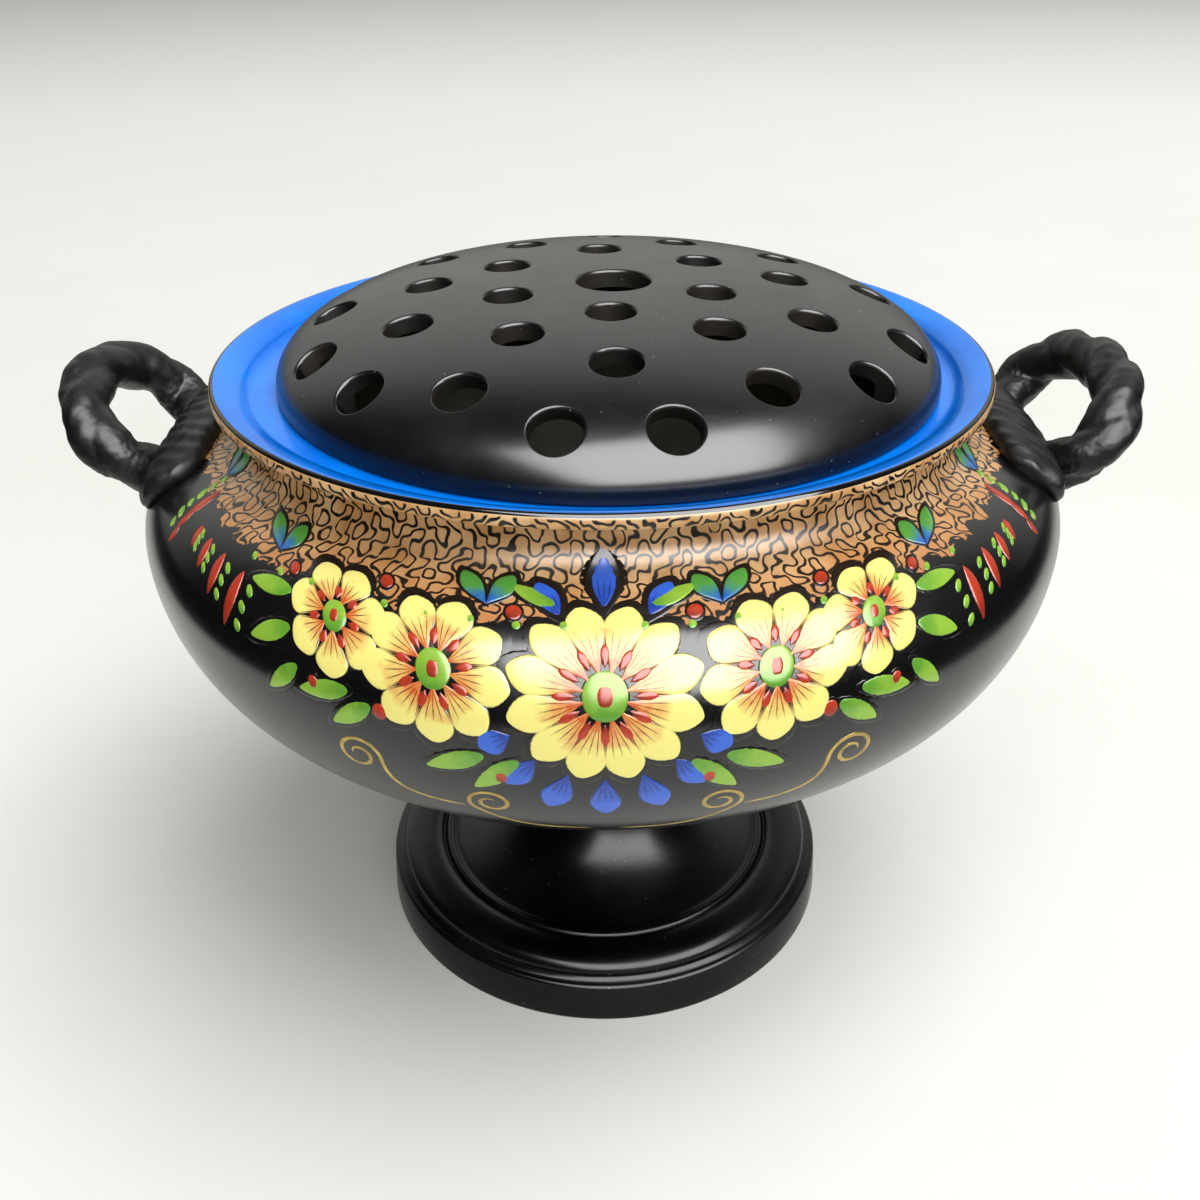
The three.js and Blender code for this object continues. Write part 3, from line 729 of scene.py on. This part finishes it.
outer_dome = dome_run(GRID_RADIUS, GRID_RISE, 60)
inner_dome = [p for p in dome_run(*INNER_DOME, 36) if p.x < 74.6]
grid_profile = chain(
    inner_dome,
    [(FLANGE_INSIDE, dome_height(FLANGE_INSIDE, *INNER_DOME)), (FLANGE_INSIDE, 168.3),
     (75.9, FLANGE_FOOT), (78.7, FLANGE_FOOT), (79.1, 168.3), (79.1, SEAT_HEIGHT),
     (85.7, SEAT_HEIGHT)],
    arc((85.7, 174.8), 0.9, -70, 0, 4),
    outer_dome[::-1],
)
bm, _ = throw_on_wheel(grid_profile, GRID_STEPS)
bmesh.ops.translate(bm, verts=bm.verts, vec=(GRID_OFF, 0, 0))
grid = finish_piece(bm, "grid", [grid_black, hole_brown], "grid", ["flower_grid"])


def punch(bm, ring, turn, radius):
    """A punch that stands square to the dome, in a ring of holes, and whose shoulder follows the
    dome to round the hole's rim."""
    tilt = math.atan2(dome_height(ring - 0.5) - dome_height(ring + 0.5), 1.0)
    axis = Vector((math.sin(tilt), 0, math.cos(tilt)))
    side = Vector((math.cos(tilt), 0, -math.sin(tilt)))
    centre = Vector((ring, 0, dome_height(ring)))
    rings = [(radius, -9.0), (radius, -HOLE_ROUNDING)]
    for angle in (20, 40, 60, 78):
        rings.append((radius + HOLE_ROUNDING * (1 - math.cos(math.radians(angle))),
                      -HOLE_ROUNDING + HOLE_ROUNDING * math.sin(math.radians(angle))))
    rings += [(radius + 1.2, 0.4), (radius + 1.2, 3.0)]
    spin = Matrix.Rotation(turn, 3, "Z")
    loops = []
    for size, height in rings:
        made = bmesh.ops.create_circle(bm, segments=48, radius=size)["verts"]
        for vert in made:
            spot = centre + side * vert.co.x + Vector((0, 1, 0)) * vert.co.y
            # All but the deepest ring slide along the axis onto the dome first
            for _ in range(6 if height > -2 else 0):
                spot += axis * (dome_height(spot.xy.length) - spot.z) * axis.z * 0.9
            vert.co = spin @ (spot + axis * height) + Vector((GRID_OFF, 0, 0))
        loops.append(list({edge for vert in made for edge in vert.link_edges}))
    for lower, upper in zip(loops, loops[1:]):
        bmesh.ops.bridge_loops(bm, edges=lower + upper)
    for loop in (loops[0], loops[-1]):
        bmesh.ops.contextual_create(bm, geom=loop)


bm = bmesh.new()
punch(bm, CENTRE_HOLE_PLACE[0], math.radians(CENTRE_HOLE_PLACE[1]), CENTRE_HOLE)
for share, angles in HOLE_RINGS:
    for angle in angles:
        punch(bm, GRID_RADIUS * share, math.radians(angle), STEM_HOLE)
bmesh.ops.recalc_face_normals(bm, faces=bm.faces)
bmesh.ops.scale(bm, vec=(MM, MM, MM), verts=bm.verts)
punches = put_in_scene("punches", mesh_from(bm, "punches"))
pierce = grid.modifiers.new("pierce", "BOOLEAN")
pierce.operation, pierce.object, pierce.solver = "DIFFERENCE", punches, "EXACT"
pierced = applied(grid)
grid.modifiers.clear()
grid.data = pierced
grid.data.name = "grid"
bpy.data.objects.remove(punches)


def true_dome_normals(mesh):
    """Gives the dome its exact normals, so that the cut round each hole doesn't dent its sheen,
    and its dry finish to what lies inside."""
    normals = [None] * len(mesh.loops)
    rounded = [[] for _ in mesh.vertices]
    on_dome = {}
    for poly in mesh.polygons:
        spots = [mesh.vertices[i].co / MM - Vector((GRID_OFF, 0, 0)) for i in poly.vertices]
        on_dome[poly.index] = poly.normal.z > 0.02 and all(
            s.z > 175.5 and abs(s.z - dome_height(s.xy.length)) < 0.08 for s in spots)
        if not on_dome[poly.index]:
            within_rim = (poly.center / MM).xy.length < 84
            poly.material_index = 1 if within_rim and poly.normal.z < 0.35 else 0
            for i in poly.vertices:
                rounded[i].append((poly.normal * poly.area, poly.normal))
    smooth_spot = {}
    for poly in mesh.polygons:
        if on_dome[poly.index]:
            for i in poly.vertices:
                spot = mesh.vertices[i].co / MM - Vector((GRID_OFF, 0, 0))
                far = spot.xy.length
                fall = (dome_height(far - 0.05) - dome_height(far + 0.05)) / 0.1
                out = spot.xy.normalized() if far > 0.01 else spot.xy
                smooth_spot[i] = Vector((out.x * fall, out.y * fall, 1)).normalized()
    for poly in mesh.polygons:
        for i, k in zip(poly.vertices, poly.loop_indices):
            if i in smooth_spot:
                normals[k] = smooth_spot[i]
            else:
                near = [heavy for heavy, flat in rounded[i] if flat.dot(poly.normal) > 0.7]
                normals[k] = sum(near, Vector()).normalized() if near else poly.normal
    mesh.normals_split_custom_set(normals)


grid.data.shade_smooth()
true_dome_normals(grid.data)

# Handles: two twisted rolls each, on a strip of clay along the shoulder

ROPE_SEAT, FOOT_LEVEL = (119, 153.7), math.cos(math.radians(125))
ROPE_STEPS, ROPE_TURNS = 150, 2.75
FOOT_STEP = 19          # The step from each end at which the rope meets the strip
ROLL_RADIUS, ROLL_OFF_AXIS, SLIP_GRAIN = 5.3, 1.5, 0.55
SLIP_REACH = 10.5       # How far the rough slip spreads from each foot
STRIP_RADIUS, STRIP_LENGTH, STRIP_WIDTH, STRIP_HEIGHT = 107.5, 82.0, 16.0, 4.5
RIDGE_PITCH = 6.4


def rope_line(reach, rise, spread, steps):
    """The rope's centre line: an oval loop in a plane that leans outward, open at its feet,
    evenly stepped, with its direction at each step."""
    fine = []
    for i in range(401):
        angle = math.radians(-140 + 280 * i / 400)
        share = (math.cos(angle) - FOOT_LEVEL) / (1 - FOOT_LEVEL)
        fine.append(Vector((ROPE_SEAT[0] + share * reach, math.sin(angle) * spread,
                            ROPE_SEAT[1] + share * rise)))
    reached = reach_of(fine)
    even = [point_along(fine, reached, reached[-1] * i / steps)[0] for i in range(steps + 1)]
    along = [(even[min(i + 1, steps)] - even[max(i - 1, 0)]).normalized()
             for i in range(steps + 1)]
    return list(zip(even, along))


def rope_handle(side, turn, reach, rise, spread):
    """Two rolls of clay twisted softly together, smoothed into each other with slip, and thick
    with rough slip where the loop's feet join the strip."""
    curve = bpy.data.curves.new("rolls", "CURVE")
    curve.dimensions, curve.bevel_depth, curve.bevel_resolution = "3D", ROLL_RADIUS * MM, 8
    curve.use_fill_caps = True
    line = rope_line(reach, rise, spread, ROPE_STEPS)
    spin = Matrix.Rotation(turn, 3, "Z")
    square = Vector((-rise, 0, reach)).normalized()
    for half in (0.0, 0.5):
        roll = curve.splines.new("POLY")
        roll.points.add(len(line) - 1)
        for i, (spot, along) in enumerate(line):
            outward = square.cross(along)
            angle = (i / ROPE_STEPS * ROPE_TURNS + half) * math.tau
            off_axis = (outward * math.cos(angle) + square * math.sin(angle)) * ROLL_OFF_AXIS
            roll.points[i].co = (*(spin @ (spot + off_axis) * MM), 1)
            roll.points[i].radius = 0.97 + 0.06 * math.sin(math.pi * i / ROPE_STEPS)
    rolls = put_in_scene("rolls", curve)
    remesh = rolls.modifiers.new("slip", "REMESH")
    remesh.mode, remesh.voxel_size = "VOXEL", SLIP_GRAIN * MM
    mesh = applied(rolls)
    bpy.data.objects.remove(rolls)
    bm = bmesh.new()
    bm.from_mesh(mesh)
    bpy.data.meshes.remove(mesh)
    for _ in range(3):
        bmesh.ops.smooth_vert(bm, verts=bm.verts, factor=0.5,
                              use_axis_x=True, use_axis_y=True, use_axis_z=True)
    bm.normal_update()
    feet = [spin @ line[k][0] * MM for k in (FOOT_STEP, ROPE_STEPS - FOOT_STEP)]
    for vert in bm.verts:
        near = max(0.0, 1 - min((vert.co - foot).length for foot in feet) / (SLIP_REACH * MM))
        lump = noise.noise(vert.co * 110) * 0.5 + noise.noise(vert.co * 280) * 0.3
        slip = near * (0.45 + noise.noise(vert.co * 900) * 0.55)
        vert.co += vert.normal * (lump + slip) * MM
    bmesh.ops.scale(bm, vec=(1 / MM, 1 / MM, 1 / MM), verts=bm.verts)
    finish_piece(bm, f"handle_{side}_rope", [rope_black], "bowl",
                 [f"handle_{side}_strand_a", f"handle_{side}_strand_b"])


def fall_at(radius):
    """How far down from the lip the shoulder, which starts below the neck, has a radius."""
    neck = 12
    i = next(i for i, spot in enumerate(down_run) if down[i] > neck and spot.x >= radius)
    share = (radius - down_run[i - 1].x) / (down_run[i].x - down_run[i - 1].x)
    return down[i - 1] + (down[i] - down[i - 1]) * share


def handle_strip(side, turn):
    """The strip of clay along the shoulder under a handle, pressed into slanting ridges."""
    bm = bmesh.new()
    bmesh.ops.create_grid(bm, x_segments=130, y_segments=36, size=1)
    half_length, half_width = STRIP_LENGTH / 2, STRIP_WIDTH / 2
    for vert in bm.verts:
        t, w = vert.co.x, vert.co.y
        end = (1 - abs(t)) * half_length
        # Both ends are round
        half = math.sqrt(max(half_width ** 2 - max(half_width - end, 0) ** 2, 0))
        out, side_on = STRIP_RADIUS + w * half, t * half_length
        edge = max(abs(w), 1 - end / 6 if end < 6 else 0)
        rise = STRIP_HEIGHT * max(1 - edge ** 4, 0) ** 0.5
        spot = Vector((side_on, out, turn))
        slant = side_on + w * 5 + noise.noise(spot * 0.1) * 4
        ridge = 0.32 * math.sin(math.tau * slant / RIDGE_PITCH)
        lump = noise.noise(spot * 0.25) * 0.5
        angle, fall = math.atan2(side_on, out), fall_at(math.hypot(out, side_on))
        vert.co = on_bowl(turn + angle, fall, 0.1 + rise * (1 + (ridge + lump) * 0.2 - 0.1))
    bmesh.ops.remove_doubles(bm, verts=bm.verts, dist=0.01)
    bm.normal_update()
    face_outward(bm, bm.faces[:])
    bmesh.ops.solidify(bm, geom=bm.faces[:], thickness=0.3)
    finish_piece(bm, f"handle_{side}_strip_dressed", [rope_black], "bowl",
                 [f"handle_{side}_strip"])


rope_handle("right", 0.0, 16.4, 18.8, 27.6)
rope_handle("left", math.pi, 17.2, 18.4, 25.0)
handle_strip("right", 0.0)
handle_strip("left", math.pi)

# Studio: pale paper under the bowl, two lights and the room that the glaze reflects

bm = bmesh.new()
bmesh.ops.create_circle(bm, cap_ends=True, segments=64, radius=12)
floor = put_in_scene("floor", mesh_from(bm, "floor"))
paper, tree = new_finish("studio_paper")
spot = add(tree, "ShaderNodeTexCoord").node.outputs["Object"]
grain = add(tree, "ShaderNodeTexNoise", spot, 4.0, 5.0, 0.6)
grain = add(tree, "ShaderNodeMapRange", grain, 0.3, 0.7, 0.0, 1.0)
pale = add(tree, "ShaderNodeMix", grain, linear("#EAEBE5"), linear("#F0F1EC"), data_type="RGBA")
# Painted light: the paper is painted paler far behind the bowl, where less lamplight reaches it
reach = add(tree, "ShaderNodeVectorMath", spot, operation="LENGTH")
reach = add(tree, "ShaderNodeMapRange", reach, 0.5, 1.8, 0.0, 1.0)
pale = add(tree, "ShaderNodeMix", reach, pale, linear("#FFFFFA"), data_type="RGBA")
# Painted reflection: only as the glaze sees it, the paper is painted dark from about half a metre
# off on each side, where the dark room would show, and painted dimmer behind the bowl
place = add(tree, "ShaderNodeSeparateXYZ", spot).node.outputs
aside = add(tree, "ShaderNodeMath", place[0], operation="ABSOLUTE")
aside = add(tree, "ShaderNodeMath", place[1], -0.6, aside, operation="MULTIPLY_ADD")
aside = add(tree, "ShaderNodeMapRange", aside, 0.35, 0.42, 0.0, 1.0)
behind = add(tree, "ShaderNodeMapRange", place[1], 0.25, 0.8, 0.0, 0.8)
aside = add(tree, "ShaderNodeMath", aside, behind, operation="MAXIMUM")
rays = add(tree, "ShaderNodeLightPath").node.outputs
aside = add(tree, "ShaderNodeMath", aside, rays["Is Glossy Ray"], operation="MULTIPLY")
pale = add(tree, "ShaderNodeMix", aside, pale, linear("#0A0A0A"), data_type="RGBA")
add(tree, "ShaderNodeOutputMaterial", add(tree, "ShaderNodeBsdfDiffuse", pale, 0.0))
floor.data.materials.append(paper)


def soft_lamp(name, place, target, width, power):
    """A square softbox that faces a spot. Places and widths are metres, powers watts."""
    lamp = put_in_scene(name, bpy.data.lights.new(name, "AREA"))
    lamp.data.size, lamp.data.energy = width, power
    lamp.location = place
    lamp.rotation_euler = (Vector(target) - Vector(place)).to_track_quat("-Z", "Y").to_euler()
    return lamp


# A large softbox high on the right and a window in front light the bowl softly. Only the window
# shows in the glaze, where it is brighter than the light that it gives: its reflection is a lamp
# of its own, a little off, because two lamps in one place lose each other's reflections.
key = soft_lamp("key_softbox", (1.7, -0.6, 4.9), (0, 0, 0.1), 4.4, 205.0)
key.visible_glossy = False
window = soft_lamp("window", (0.40, -1.22, 1.72), (0, 0, 0.19), 2.6, 30.0)
window.visible_glossy = False
reflection = soft_lamp("window_in_the_glaze", (0.50, -1.12, 1.64), (0, 0, 0.19), 2.55, 258.0)
reflection.visible_diffuse = False

ROOM_LIGHT = 0.33    # How strongly the room lights the bowl, next to what the camera sees of it
scene.world = bpy.data.worlds.new("studio")
scene.world.use_nodes = True
tree = scene.world.node_tree
tree.nodes.clear()
sky = add(tree, "ShaderNodeTexCoord").node.outputs["Generated"]
look = add(tree, "ShaderNodeSeparateXYZ", sky).node.outputs
# The room is bright at the back, where the paper rises, and dark on both sides
back = add(tree, "ShaderNodeMapRange", look[1], 0.28, 0.66, 0.04, 1.2)
low = add(tree, "ShaderNodeMapRange", look[2], -0.1, 0.42, 0.35, 1.0)
high = add(tree, "ShaderNodeMapRange", look[2], 0.68, 0.90, 1.0, 0.3)
room = add(tree, "ShaderNodeMath", back, low, operation="MULTIPLY")
room = add(tree, "ShaderNodeMath", room, high, operation="MULTIPLY")
rays = add(tree, "ShaderNodeLightPath").node.outputs
level = add(tree, "ShaderNodeMix", rays["Is Glossy Ray"], ROOM_LIGHT, room, data_type="FLOAT")
level = add(tree, "ShaderNodeMix", rays["Is Camera Ray"], level, 1.0, data_type="FLOAT")
add(tree, "ShaderNodeOutputWorld", add(tree, "ShaderNodeBackground", linear("#E8E9E3"), level))
